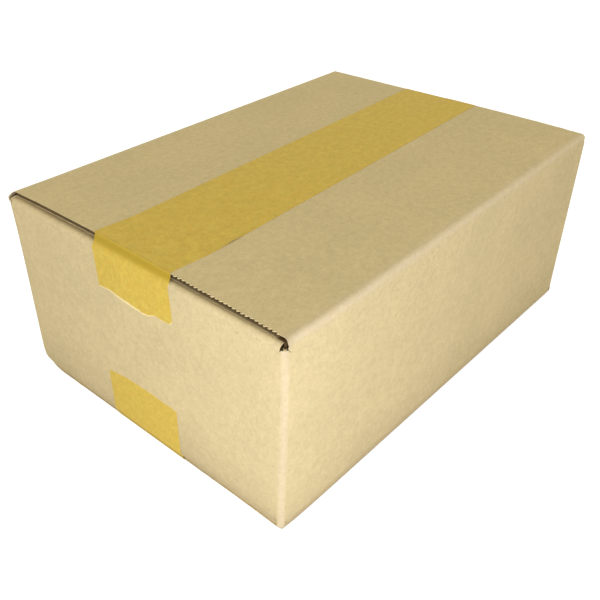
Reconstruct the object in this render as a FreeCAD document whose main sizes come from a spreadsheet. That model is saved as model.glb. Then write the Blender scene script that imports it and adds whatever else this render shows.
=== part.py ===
import FreeCAD, Part
import Sketcher
import math
import os

# A slotted carton of corrugated board, folded, closed and sealed with two strips of paper tape.
# Millimetres. X runs along the box, Y across it and Z up. The origin is under the middle of the
# box, on the surface that it stands on. The torn end of the top strip hangs at the -X end.

SIZES = {
    # The closed box outside, and its board.
    "length": 252.0,
    "width": 175.0,
    "height": 103.0,
    "board": 2.4,
    "liner": 0.3,
    "crease": 0.2,  # radius inside each fold
    # The cuts of the blank.
    "seam_gap": 1.0,  # between the two long flaps, under the tape
    "flap_gap": 0.2,  # between a long flap and the short flap that it lies on
    "flap_setback": 3.0,  # from a long flap's cut end to the end of the box
    "flap_side_gap": 0.6,  # from a short flap's cut side to the long wall
    "slot_past": 0.4,  # how far a slot runs past the fold of a short flap
    "flute_recess": 1.6,  # how far the fluting stands back between the liners
    # The serrated cut at the -X end of the long flap on top at -Y.
    "tooth_pitch": 2.3,
    "tooth_depth": 0.55,
    "tooth_notch": 1.8,  # how wide a notch is at its mouth
    "tooth_start": 6.0,  # from the long wall to the first notch
    # The glued joint, in the corner at +X and +Y.
    "joint_setback": 1.0,  # from the raw edge of the end wall to the corner
    "tab_width": 32.0,
    "tab_gap": 2.0,  # from the tab's ends to the short flaps
    "tab_taper": 7.0,
    # The two strips of paper tape. Front is the -X end and back the +X end.
    "tape_width": 48.0,
    "tape_thickness": 0.15,
    "tape_touch": 70.0,  # degrees up the fold of an end wall, where the tape first touches it
    "top_front": 0.0,  # the middle of the top strip, across the box
    "top_back": 4.7,
    "top_front_hang": 23.6,  # how far its ends hang down the end walls
    "top_back_hang": 25.0,
    "bottom_front": 1.0,
    "bottom_back": -1.5,
    "bottom_front_hang": 31.0,
    "bottom_back_hang": 27.0,
}

# Places that follow from the sizes. Each may use the ones above it.
PLACES = {
    "half_length": "sizes.length / 2",
    "half_width": "sizes.width / 2",
    "fold": "sizes.board + sizes.crease",
    "sole": "sizes.tape_thickness",
    "middle": "sole + sizes.height / 2",
    "top": "sole + sizes.height",
    "short_sole": "sole + sizes.board + sizes.flap_gap",
    "short_top": "top - sizes.board - sizes.flap_gap",
    "slot_sole": "short_sole + fold + sizes.slot_past",
    "slot_top": "short_top - fold - sizes.slot_past",
    "seam": "sizes.seam_gap / 2",
    "short_free": "half_length - half_width + seam",
    "short_side": "half_width - sizes.board - sizes.flap_side_gap",
    "flap_end": "half_length - sizes.flap_setback",
    "core_end": "flap_end - sizes.flute_recess",
    "tooth_root": "flap_end - sizes.tooth_depth",
    "tooth_first": "half_width - sizes.tooth_start",
    "tooth_count": "floor((tooth_first - seam) / sizes.tooth_pitch)",
    "raw_edge": "half_width - sizes.joint_setback",
    "joint_fold": "half_length - sizes.board - fold",
    "joint_reach": "joint_fold + sqrt(fold^2 - (fold - sizes.joint_setback)^2)",
    "tab_sole": "short_sole + sizes.board + sizes.tab_gap",
    "tab_top": "short_top - sizes.board - sizes.tab_gap",
    # The tape drops from the cut end of a long flap to the fold of the end wall under it. The
    # last two say which way its outside faces on the drop.
    "touch_out": "cos(sizes.tape_touch)",
    "touch_up": "sin(sizes.tape_touch)",
    "drop_run": "sizes.flap_setback - fold + touch_out * fold",
    "drop_rise": "top - short_top + fold - touch_up * fold",
    "drop_out": "drop_rise / hypot(drop_run; drop_rise)",
    "drop_up": "drop_run / hypot(drop_run; drop_rise)",
    "tape_end": "half_length + sizes.tape_thickness",
    "tape_half": "sizes.tape_width / 2",
}

# The ends of the strips, from the +Y edge to the -Y edge: a share of the tape's width from its
# middle, and how much further than its named hang the tape reaches there, in millimetres.
TOP_TEAR = [(0.5, 0.4), (0.34, 0.0), (0.25, 1.2), (0.08, 1.8), (-0.08, 2.5),
            (-0.16, 1.8), (-0.3, -0.4), (-0.46, -0.4), (-0.5, -2.4)]
BOTTOM_TEAR = [(0.5, -1.6), (0.32, -0.3), (0.17, 0.8), (-0.13, 0.9), (-0.5, 0.0)]
STRAIGHT_CUT = [(0.5, 0.0), (-0.5, 0.0)]

SPARE = 8.0  # how far a cutting outline runs past what it cuts
LINE = None  # in place of an arc's radius


def fill_sheet(doc, name, cells):
    """A sheet with one named cell a row."""
    sheet = doc.addObject("Spreadsheet::Sheet", name)
    for row, (alias, content) in enumerate(cells.items(), start=1):
        sheet.set(f"A{row}", alias)
        sheet.set(f"B{row}", content)
        sheet.setAlias(f"B{row}", alias)
    doc.recompute()


def origin_plane(body, role):
    """The plane of a body's own origin that has this role."""
    return next(item for item in body.Origin.OriginFeatures if item.Role == role)


def value(sketch, expression):
    """What an expression of the sheets comes to, as a plain number."""
    found = sketch.evalExpression(expression)
    return float(getattr(found, "Value", found))


def segment(start, end, radius, turn):
    """The line or arc from start to end. An arc turns left (1) or right (-1) on its way."""
    first = FreeCAD.Vector(*start, 0)
    last = FreeCAD.Vector(*end, 0)
    if radius is LINE:
        return Part.LineSegment(first, last)
    chord = last - first
    aside = math.sqrt(radius**2 - (chord.Length / 2)**2) * turn
    centre = (first + last) * 0.5 + FreeCAD.Vector(-chord.y, chord.x, 0).normalize() * aside
    angles = [math.atan2(point.y - centre.y, point.x - centre.x) for point in (first, last)]
    circle = Part.Circle(centre, FreeCAD.Vector(0, 0, 1), radius)
    return Part.ArcOfCircle(circle, *angles[::turn])


def add_outline(sketch, outline):
    """One closed outline. Each corner is held by its two distances from the origin."""
    corners = [corner if len(corner) == 4 else (*corner, LINE, 1) for corner in outline]
    places = [(value(sketch, across), value(sketch, up)) for across, up, radius, turn in corners]
    first = sketch.GeometryCount
    for index, (across, up, radius, turn) in enumerate(corners):
        size = LINE if radius is LINE else value(sketch, radius)
        following = places[(index + 1) % len(places)]
        sketch.addGeometry(segment(places[index], following, size, turn))
    for index, (across, up, radius, turn) in enumerate(corners):
        item = first + index
        before = first + (index - 1) % len(corners)
        start = 1 if turn > 0 else 2
        end_before = 2 if corners[index - 1][3] > 0 else 1
        sketch.addConstraint(Sketcher.Constraint("Coincident", before, end_before, item, start))
        for kind, place, size in zip(("DistanceX", "DistanceY"), places[index], (across, up)):
            number = sketch.addConstraint(Sketcher.Constraint(kind, -1, 1, item, start, place))
            sketch.setExpression(f"Constraints[{number}]", size)
        if radius is not LINE:
            size = value(sketch, radius)
            number = sketch.addConstraint(Sketcher.Constraint("Radius", item, size))
            sketch.setExpression(f"Constraints[{number}]", radius)


def draw(body, name, role, outlines, lift="0"):
    """A sketch of closed outlines on one of the body's origin planes, lifted along its normal.
    A corner is (across, up) before a line, or (across, up, radius, turn) before an arc, in
    expressions of the sheets."""
    sketch = body.newObject("Sketcher::SketchObject", name)
    sketch.AttachmentSupport = (origin_plane(body, role), [""])
    sketch.MapMode = "FlatFace"
    sketch.setExpression("AttachmentOffset.Base.z", lift)
    for outline in outlines:
        add_outline(sketch, outline)
    if sketch.solve() != 0:
        raise RuntimeError(f"the sketch {name} has no solution")
    return sketch


def pad(body, name, sketch, length, side):
    """Board or tape as thick as length, on one side of the sketch or half on each."""
    feature = body.newObject("PartDesign::Pad", name)
    feature.Profile = sketch
    feature.SideType = side
    feature.setExpression("Length", length)
    body.Document.recompute()


def pocket(body, name, sketch, side, backwards=False, depth=None):
    """A cut on one side of the sketch or on both, right through if it has no depth."""
    before = body.Shape.Volume
    feature = body.newObject("PartDesign::Pocket", name)
    feature.Profile = sketch
    feature.SideType = side
    feature.Reversed = backwards
    if depth:
        feature.setExpression("Length", depth)
    else:
        feature.Type = "ThroughAll"
    body.Document.recompute()
    if body.Shape.Volume >= before:
        raise RuntimeError(f"the pocket {name} cuts nothing")
    return feature


def wall_outline():
    """The outside of the four walls. Three corners are folds. In the fourth the long wall's fold
    dips behind the end wall, whose raw edge stops short of the corner."""
    out_x, out_y, fold = "places.half_length", "places.half_width", "places.fold"
    return [
        (f"-{out_x} + {fold}", f"-{out_y}"),
        (f"{out_x} - {fold}", f"-{out_y}", fold, 1),
        (out_x, f"-{out_y} + {fold}"),
        (out_x, "places.raw_edge"),
        ("places.joint_reach", "places.raw_edge", fold, 1),
        ("places.joint_fold", out_y),
        (f"-{out_x} + {fold}", out_y, fold, 1),
        (f"-{out_x}", f"{out_y} - {fold}"),
        (f"-{out_x}", f"-{out_y} + {fold}", fold, 1),
    ]


def inner_wall_outline():
    """The inside of the four walls, one board in."""
    in_x, in_y = "(places.half_length - sizes.board)", "(places.half_width - sizes.board)"
    crease = "sizes.crease"
    return [
        (f"-{in_x} + {crease}", f"-{in_y}"),
        (f"{in_x} - {crease}", f"-{in_y}", crease, 1),
        (in_x, f"-{in_y} + {crease}"),
        (in_x, f"{in_y} - {crease}", crease, 1),
        (f"{in_x} - {crease}", in_y),
        (f"-{in_x} + {crease}", in_y, crease, 1),
        (f"-{in_x}", f"{in_y} - {crease}"),
        (f"-{in_x}", f"-{in_y} + {crease}", crease, 1),
    ]


def tab_outline():
    """The glue tab: a tapered strip that folds off the long wall and lies in the end wall."""
    root = "places.half_width - sizes.board"
    free = f"{root} - sizes.tab_width"
    return [
        (root, "places.tab_sole"),
        (root, "places.tab_top"),
        (free, "places.tab_top - sizes.tab_taper"),
        (free, "places.tab_sole + sizes.tab_taper"),
    ]


def flap_outline(wall, level, free, hand, rise, near="0", far="sizes.board"):
    """The section of a flap with its fold and the top of its wall. hand is the side of the box,
    rise is 1 for a flap on top and -1 for one below. near and far are depths in the board."""
    ledge = "places.slot_top" if rise > 0 else "places.slot_sole"
    turn = hand * rise

    def out(depth):
        return f"{hand} * ({wall} - {depth})"

    def height(depth):
        return f"{level} - {rise} * ({depth})"

    return [
        (out(near), ledge),
        (out(near), height("places.fold"), f"places.fold - {near}", turn),
        (out("places.fold"), height(near)),
        (f"{hand} * {free}", height(near)),
        (f"{hand} * {free}", height(far)),
        (out("places.fold"), height(far), f"places.fold - {far}", -turn),
        (out(far), height("places.fold")),
        (out(far), ledge),
    ]


def long_flaps(near="0", far="sizes.board"):
    """The four flaps that hinge on the long walls and meet at the seams."""
    return [flap_outline("places.half_width", level, "places.seam", hand, rise, near, far)
            for rise, level in ((1, "places.top"), (-1, "places.sole")) for hand in (-1, 1)]


def short_flaps():
    """The four flaps that hinge on the end walls and lie inside the long ones."""
    return [flap_outline("places.half_length", level, "places.short_free", hand, rise)
            for rise, level in ((1, "places.short_top"), (-1, "places.short_sole"))
            for hand in (-1, 1)]


def notch_outline():
    """One notch of the serrated cut, from above."""
    near = "-places.tooth_first"
    outside = f"-(places.flap_end + {SPARE})"
    return [
        (outside, near),
        ("-places.flap_end", near),
        ("-places.tooth_root", f"{near} + sizes.tooth_notch / 2"),
        ("-places.flap_end", f"{near} + sizes.tooth_notch"),
        (outside, f"{near} + sizes.tooth_notch"),
    ]


def serrate(body):
    """The saw teeth that the slotting knife leaves in the outer liner, along one cut end."""
    sketch = draw(body, "notch_shape", "XY_Plane", [notch_outline()], "places.top")
    notch = pocket(body, "notch", sketch, "One side", depth="sizes.liner")
    teeth = body.newObject("PartDesign::LinearPattern", "teeth")
    teeth.Originals = [notch]
    teeth.Direction = (sketch, ["V_Axis"])
    teeth.Mode = "Spacing"
    teeth.setExpression("Offset", "sizes.tooth_pitch")
    teeth.setExpression("Occurrences", "places.tooth_count")
    body.Tip = teeth
    body.Document.recompute()


def make_carton(doc):
    """The folded blank, one piece: a loop of walls, eight flaps and a glue tab. At the cut ends
    of the long flaps the fluting stands back, which leaves a dark channel between the liners."""
    body = doc.addObject("PartDesign::Body", "carton")
    loop = draw(body, "wall_loop", "XY_Plane", [wall_outline(), inner_wall_outline()],
                "places.slot_sole")
    pad(body, "walls", loop, "places.slot_top - places.slot_sole", "One side")
    tab = draw(body, "tab_shape", "YZ_Plane", [tab_outline()],
               "places.half_length - 2 * sizes.board")
    pad(body, "glue_tab", tab, "sizes.board", "One side")
    boards = draw(body, "long_flap_boards", "YZ_Plane", long_flaps())
    pad(body, "long_flaps", boards, "2 * places.core_end", "Symmetric")
    outer = draw(body, "outer_liner_lines", "YZ_Plane", long_flaps("0", "sizes.liner"))
    pad(body, "outer_liners", outer, "2 * places.flap_end", "Symmetric")
    inner = draw(body, "inner_liner_lines", "YZ_Plane",
                 long_flaps("(sizes.board - sizes.liner)", "sizes.board"))
    pad(body, "inner_liners", inner, "2 * places.flap_end", "Symmetric")
    shorts = draw(body, "short_flap_boards", "XZ_Plane", short_flaps())
    pad(body, "short_flaps", shorts, "2 * places.short_side", "Symmetric")
    serrate(body)
    return body


def tape_path(hand, rise, skin):
    """One end of the strip's section, from half way up the wall to the flap. skin is how far the
    path stays off the board."""
    level = "places.top" if rise > 0 else "places.sole"
    bend = ("places.short_top" if rise > 0 else "places.short_sole") + f" - {rise} * places.fold"
    radius = f"(places.fold + {skin})"
    path = [
        (f"{hand} * (places.half_length + {skin})", "places.middle"),
        (f"{hand} * (places.half_length + {skin})", bend, radius, hand * rise),
        (f"{hand} * (places.half_length - places.fold + places.touch_out * {radius})",
         f"{bend} + {rise} * places.touch_up * {radius}"),
    ]
    if skin != "0":
        path.append((f"{hand} * (places.flap_end + places.drop_out * {skin})",
                     f"{level} + {rise} * places.drop_up * {skin}", skin, hand * rise))
    path.append((f"{hand} * places.flap_end", f"{level} + {rise} * {skin}"))
    return path


def backwards(path):
    """The same path from its other end."""
    arcs = [(corner[2], -corner[3]) if len(corner) == 4 else () for corner in path[:-1]]
    return [(*corner[:2], *arc) for corner, arc in zip(path[::-1], [*arcs[::-1], ()])]


def tape_section(rise):
    """The strip seen from the side, over the whole box."""
    skin = "sizes.tape_thickness"
    return [*tape_path(-1, rise, skin), *backwards(tape_path(1, rise, skin)),
            *tape_path(1, rise, "0"), *backwards(tape_path(-1, rise, "0"))]


def tape_plan(front, back):
    """What is cut off beside the strip: a wide frame, less the strip's own slanted outline."""
    reach = f"(places.tape_end + {SPARE})"
    side = f"(places.half_width + {SPARE})"
    frame = [(f"{x} * ({reach} + {SPARE})", f"{y} * {side}")
             for x, y in ((-1, -1), (1, -1), (1, 1), (-1, 1))]
    strip = [(f"{x} * {reach}", f"{place} + {y} * places.tape_half")
             for x, y, place in ((-1, -1, front), (1, -1, back), (1, 1, back), (-1, 1, front))]
    return [frame, strip]


def tear_outline(rise, place, hang, tear):
    """What is cut off past the end of the strip, down to its rough end."""
    level = "places.top" if rise > 0 else "places.sole"
    beyond = f"places.middle - {rise} * {SPARE}"
    edge = [(f"{place} + {share} * sizes.tape_width", f"{level} - {rise} * ({hang} + {extra})")
            for share, extra in tear]
    side = f"places.half_width + {SPARE}"
    return [(side, beyond), (side, edge[0][1]), *edge, (f"-({side})", edge[-1][1]),
            (f"-({side})", beyond)]


def make_tape(doc, name, rise, tear):
    """A strip of paper tape over a seam and down both end walls, a little askew."""
    body = doc.addObject("PartDesign::Body", f"{name}_tape")
    front, back = f"sizes.{name}_front", f"sizes.{name}_back"
    section = draw(body, f"{name}_section", "XZ_Plane", [tape_section(rise)])
    pad(body, f"{name}_rough", section, "sizes.width", "Symmetric")
    plan = draw(body, f"{name}_plan", "XY_Plane", tape_plan(front, back))
    pocket(body, f"{name}_sides", plan, "Symmetric")
    for end, place, shape, flip in (("front", front, tear, False),
                                    ("back", back, STRAIGHT_CUT, True)):
        outline = tear_outline(rise, place, f"sizes.{name}_{end}_hang", shape)
        tear_sketch = draw(body, f"{name}_{end}_tear", "YZ_Plane", [outline])
        pocket(body, f"{name}_{end}_end", tear_sketch, "One side", flip)
    return body


def main():
    doc = FreeCAD.newDocument("closed_carton")
    fill_sheet(doc, "sizes", {alias: str(size) for alias, size in SIZES.items()})
    fill_sheet(doc, "places", {alias: f"={rule}" for alias, rule in PLACES.items()})
    bodies = [
        make_carton(doc),
        make_tape(doc, "top", 1, TOP_TEAR),
        make_tape(doc, "bottom", -1, BOTTOM_TEAR),
    ]
    doc.recompute()
    for item in doc.Objects:
        if "Invalid" in item.State or "Error" in item.State:
            raise RuntimeError(f"{item.Label} failed")
    for body in bodies:
        if body.Shape.isNull() or not body.Shape.isValid() or len(body.Shape.Solids) != 1:
            raise RuntimeError(f"{body.Label} is not one sound solid")
    os.makedirs("parts", exist_ok=True)
    for body in bodies:
        body.Shape.exportStep(f"parts/{body.Label}.step")
        box = body.Shape.BoundBox
        print(body.Label, round(box.XLength, 2), round(box.YLength, 2), round(box.ZLength, 2),
              "mm,", round(body.Shape.Volume / 1000, 2), "cubic centimetres")


main()
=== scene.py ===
# %% [markdown]
# # A closed carton, sealed with paper tape
# The imported model gives the true sizes of three things: the carton, which is one sheet of corrugated
# board, and the two strips of tape that hold it shut. This lesson builds a detailed piece for each of
# them inside the same box, then paints and lights them and sets a camera on them. The first call imports
# the imported model. Every size below follows from it or from a short list of measures in millimetres.

# %% The imported frame
import math

import bpy
import numpy as np
from mathutils import Matrix, Vector


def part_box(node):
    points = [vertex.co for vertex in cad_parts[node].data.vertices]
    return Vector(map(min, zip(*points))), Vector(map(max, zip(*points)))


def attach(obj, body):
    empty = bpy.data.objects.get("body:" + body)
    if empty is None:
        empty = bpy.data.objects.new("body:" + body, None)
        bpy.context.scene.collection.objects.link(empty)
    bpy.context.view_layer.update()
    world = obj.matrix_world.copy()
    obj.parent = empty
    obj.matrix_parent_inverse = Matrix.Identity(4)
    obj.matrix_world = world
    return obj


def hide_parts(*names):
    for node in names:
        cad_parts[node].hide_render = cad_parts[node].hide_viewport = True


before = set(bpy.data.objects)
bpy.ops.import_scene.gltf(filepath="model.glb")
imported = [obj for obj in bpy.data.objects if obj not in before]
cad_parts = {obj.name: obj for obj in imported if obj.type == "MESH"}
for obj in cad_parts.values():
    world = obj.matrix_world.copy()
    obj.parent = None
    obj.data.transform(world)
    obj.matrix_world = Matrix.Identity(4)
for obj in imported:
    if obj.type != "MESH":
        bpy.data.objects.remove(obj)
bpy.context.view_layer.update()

MM = 0.001
carton_low, carton_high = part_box("carton")
print("carton", [round((b - a) / MM, 1) for a, b in zip(carton_low, carton_high)], "mm")

# %% [markdown]
# ## The camera
# A photograph fixes five things: where the camera stands, where it points, how far it looks down, how
# much it leans, and how long its lens is. They are set by name here, before anything is modelled, because
# each later detail is seen through this camera. The lens is given for a sensor 36 mm wide and a square
# picture.

# %% The camera
CAMERA_PLACE = Vector((-0.28552, -0.22968, 0.26623))
HEADING = math.radians(49.726)  # from +Y towards +X
LOOKING_DOWN = math.radians(34.207)
LEAN = math.radians(-0.993)
LENS = 46.007

ahead = Vector((math.sin(HEADING) * math.cos(LOOKING_DOWN),
                math.cos(HEADING) * math.cos(LOOKING_DOWN), -math.sin(LOOKING_DOWN)))
level = ahead.cross(Vector((0, 0, 1))).normalized()
square_up = level.cross(ahead)
right = math.cos(LEAN) * level - math.sin(LEAN) * square_up
up = right.cross(ahead)
camera = bpy.data.objects.new("camera", bpy.data.cameras.new("camera"))
camera.data.lens = LENS
camera.data.sensor_width = 36
camera.data.clip_start = 0.01
camera.matrix_world = Matrix.Translation(CAMERA_PLACE) @ Matrix((right, up, -ahead)).transposed().to_4x4()
bpy.context.scene.collection.objects.link(camera)
bpy.context.scene.camera = camera
print("camera", [round(v, 3) for v in CAMERA_PLACE], "lens", LENS)

# %% [markdown]
# ## The blank and how it folds
# A carton starts as one flat blank: a row of four walls, a glue tab at its end, and a flap above and
# below each wall, parted by slots. So the board is described once, in the flat, and a function folds it.
# A point of the blank has three measures: c, how far along the row of walls it is, r, its height up the
# sheet, and its depth in the board from the outside. Folding rolls each score round a small radius. The
# same function serves the faces, the cut edges, the fluting and the row of saw teeth, so they can't drift
# apart.

# %% Sizes of the board, in millimetres
HALF_LENGTH = carton_high.x / MM
HALF_WIDTH = carton_high.y / MM
SOLE = carton_low.z / MM
TOP = carton_high.z / MM
HEIGHT = TOP - SOLE
BOARD = 2.4
LINER = 0.3
FOLD = 2.6  # outer radius of every fold
FLAP_GAP = 0.2
SEAM = 0.5  # half of the gap between two long flaps
SETBACK = 3.0  # from a long flap's cut end to the end of the box
SIDE_GAP = 0.6
SLOT_PAST = 0.4
JOINT_SETBACK = 1.0  # the raw edge of the glued joint stops this short of the corner
TAB_WIDTH = 32.0
TAB_GAP = 2.0  # from the tab's ends to the short flaps
TAB_SPARE = 1.0  # and how much shorter still the tab is at each end
TAB_TAPER = 0.11  # the share of its height that the tab loses towards its free edge
GLUE = 0.04

SHORT_SOLE = SOLE + BOARD + FLAP_GAP
SHORT_TOP = TOP - BOARD - FLAP_GAP
SLOT_SOLE = SHORT_SOLE + FOLD + SLOT_PAST
SLOT_TOP = SHORT_TOP - FOLD - SLOT_PAST
QUARTER = FOLD * math.pi / 2
FLAP_RUN = HALF_WIDTH - SEAM - FOLD  # the flat part of a flap
FLAP_END = HALF_LENGTH - SETBACK
print("slots end at", round(SLOT_SOLE, 2), "and", round(SLOT_TOP, 2), "mm up")

# %% The row of walls, as seen from above
# Each stretch: where its outer line starts, the way it runs, its length, and its flaps' kind.
RUNS = [
    ((HALF_LENGTH, HALF_WIDTH - JOINT_SETBACK), (0, -1), 2 * HALF_WIDTH - JOINT_SETBACK - FOLD, "short"),
    ((HALF_LENGTH - FOLD, -HALF_WIDTH), (-1, 0), 2 * (HALF_LENGTH - FOLD), "long"),
    ((-HALF_LENGTH, -HALF_WIDTH + FOLD), (0, 1), 2 * (HALF_WIDTH - FOLD), "short"),
    ((-HALF_LENGTH + FOLD, HALF_WIDTH), (1, 0), 2 * (HALF_LENGTH - FOLD) - BOARD, "long"),
    ((HALF_LENGTH - BOARD - GLUE, HALF_WIDTH - FOLD), (0, -1), TAB_WIDTH + BOARD - FOLD, "tab"),
]
WALL_NAMES = ("BACK", "NEAR", "FRONT", "FAR", "TAB")
BACK, NEAR, FRONT, FAR, TAB = range(5)
run_start = []
reach = 0.0
for _, _, length, _ in RUNS:
    run_start.append(reach)
    reach += length + QUARTER
BLANK_LENGTH = reach - QUARTER


def along(run, x=None, y=None):
    """The measure c at which a wall passes a given x or y."""
    (x0, y0), (dx, dy), length, kind = RUNS[run]
    return run_start[run] + ((x - x0) * dx if x is not None else (y - y0) * dy)


print("the blank is", round(BLANK_LENGTH), "mm long")

# %% [markdown]
# A real box is never quite square. Its top leans and twists a little, one corner stands higher,
# and the long flaps bow, because tape holds them down only in the middle. These small movements
# are named values in millimetres, applied after folding to board and tape alike.

# %% How this box sits out of square
CORNER_LIFT = {(-1, 1): 0.2, (1, 1): -0.2, (1, -1): 2.6, (-1, -1): -1.0}  # the top's corners
TWIST = 0.84
FLARE = 0.85  # how far the long walls lean out at the top
SPLAY = 0.6  # how much wider the back end is
# Each top flap: how far its seam edge is lifted and its middle bowed, in front and at the back.
FLAP_LIFT = {1: {"open": (0.7, 0.4), "bow": (0.35, 0.0)},
             -1: {"open": (0.6, 0.6), "bow": (-0.2, 0.25)}}
# How much further back each top flap is cut in front, by its fold and by the seam.
FRONT_TRIM = {1: (0.4, 0.4), -1: (-0.5, 0.5)}
SOLE_TRIM = -1.3  # the same for the bottom flaps, which reach out further
TRIM_REACH = 8.0  # the trim fades out over this much of a flap's length
# How far the slot beside each top flap narrows in front, from the fold down to its end.
SQUASHED = {1: 2.5, -1: 0.9}
SQUASHED_SOLE = 0.3  # the same beside the two bottom flaps
SQUASH_REACH = 5.0  # the narrowing fades out over this much of a flap's length
NEAR_STRAY = ((-0.4, 0.4), 15.0)  # how far the near corner's fold strays, and over what width
BACK_LEAN = 0.3  # how far the near wall leans out at its back end, top out and foot in
DENTS = [  # where, how wide, and how far it is pushed in
    ((-HALF_LENGTH, HALF_WIDTH, SOLE), 7.0, (0.6, -0.8, 2.4)),
    ((-HALF_LENGTH, -HALF_WIDTH, TOP), 18.0, (0.0, 0.7, 0.2)),
    ((-HALF_LENGTH, HALF_WIDTH, TOP), 16.0, (-0.3, 0.5, 0.0)),
    ((-HALF_LENGTH, -HALF_WIDTH, SOLE), 3.0, (0.25, 0.25, 0.5)),
]


def smooth_step(t):
    """Goes smoothly from 0 to 1 while t does."""
    t = np.clip(t, 0, 1)
    return t * t * (3 - 2 * t)


def hump(offset, width):
    """1 where the offset is 0, falling off to both sides over about the width."""
    return np.exp(-(offset / width) ** 2)


def flap_lift(x, y, side):
    """How far a long flap on top has risen. side is 1 for the far flap and -1 for the near one."""
    front = (HALF_LENGTH - x) / (2 * HALF_LENGTH)
    t = np.clip((HALF_WIDTH - side * y) / HALF_WIDTH, 0, 1)
    shape = FLAP_LIFT[side]
    opened, bowed = (v[0] * front + v[1] * (1 - front) for v in (shape["open"], shape["bow"]))
    return opened * t + bowed * 4 * t * (1 - t)


def front_trim(x, y, side, rise=1):
    """How far a long flap is drawn back from its named end, in front."""
    t = np.clip((HALF_WIDTH - side * y) / HALF_WIDTH, 0, 1)
    by_fold, by_seam = FRONT_TRIM[side] if rise > 0 else (SOLE_TRIM, SOLE_TRIM)
    return (by_fold * (1 - t) + by_seam * t) * smooth_step((TRIM_REACH - FLAP_END - x) / TRIM_REACH)


def settle(points):
    """The whole box out of square, for an array of points in millimetres."""
    x, y = points[:, 0] / HALF_LENGTH, points[:, 1] / HALF_WIDTH
    z = (points[:, 2] - SOLE) / HEIGHT
    moved = points.copy()
    for (sx, sy), lift in CORNER_LIFT.items():
        moved[:, 2] += lift * z * (1 + sx * x) * (1 + sy * y) / 4
    moved[:, 0] -= TWIST * y * z
    moved[:, 1] += TWIST * x * z * HALF_LENGTH / HALF_WIDTH + SPLAY * x * y + FLARE * y * z
    moved[:, 1] -= BACK_LEAN * (2 * z - 1) * (1 + x) * (1 - y) / 4
    stray, wide = NEAR_STRAY
    near = hump(np.hypot(points[:, 0] + HALF_LENGTH, points[:, 1] + HALF_WIDTH), wide)
    moved[:, :2] += near[:, None] * np.array(stray)
    for corner, wide, push in DENTS:
        near = hump(np.linalg.norm(points - np.array(corner), axis=1), wide)
        moved += near[:, None] * np.array(push)
    return moved


print("the highest corner stands", max(CORNER_LIFT.values()), "mm above the rest")

# %% The fold
SCORE_DEPTH = (0.2, 0.04)  # the grooves that scoring leaves, on a fold's wall side and flap side
SCORE_WIDE = 0.55
SCORE_FROM = 1.0  # from the groove to the fold's own bend
# Between two flaps the slot stops short and leaves a tongue, which stands up in the corner. Its
# length, for the corner after each wall and for the top (1) or the sole (-1).
TONGUES = {("NEAR", 1): 1.3, ("FRONT", 1): 2.6, ("BACK", 1): 1.0, ("FAR", 1): 0.5,
           ("NEAR", -1): 3.5, ("FRONT", -1): 1.0, ("BACK", -1): 4.6, ("FAR", -1): 1.0}
TONGUE_ROOT = 9.0  # how much of the upright fold a tongue stretches
TONGUE_BLUNT = 0.35  # a power: the smaller it is, the blunter a tongue's end
# How pale each kind of fold is painted, and over what share of its bend: partly rubbed liner, partly a
# painted highlight.
FOLD_WEAR_AND_HIGHLIGHT = {"long": (0.6, 0.62), "short": (0.1, 0.62), "tab": (0.0, 0.62), "upright": (0.5, 0.4)}
LIFT_REACH = 12.0  # from a flap's fold to where it has risen in full
HAIR = 1e-6  # less than this is no difference
FLAT = -99.0  # stands for a place that no flap's fold is near


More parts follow.
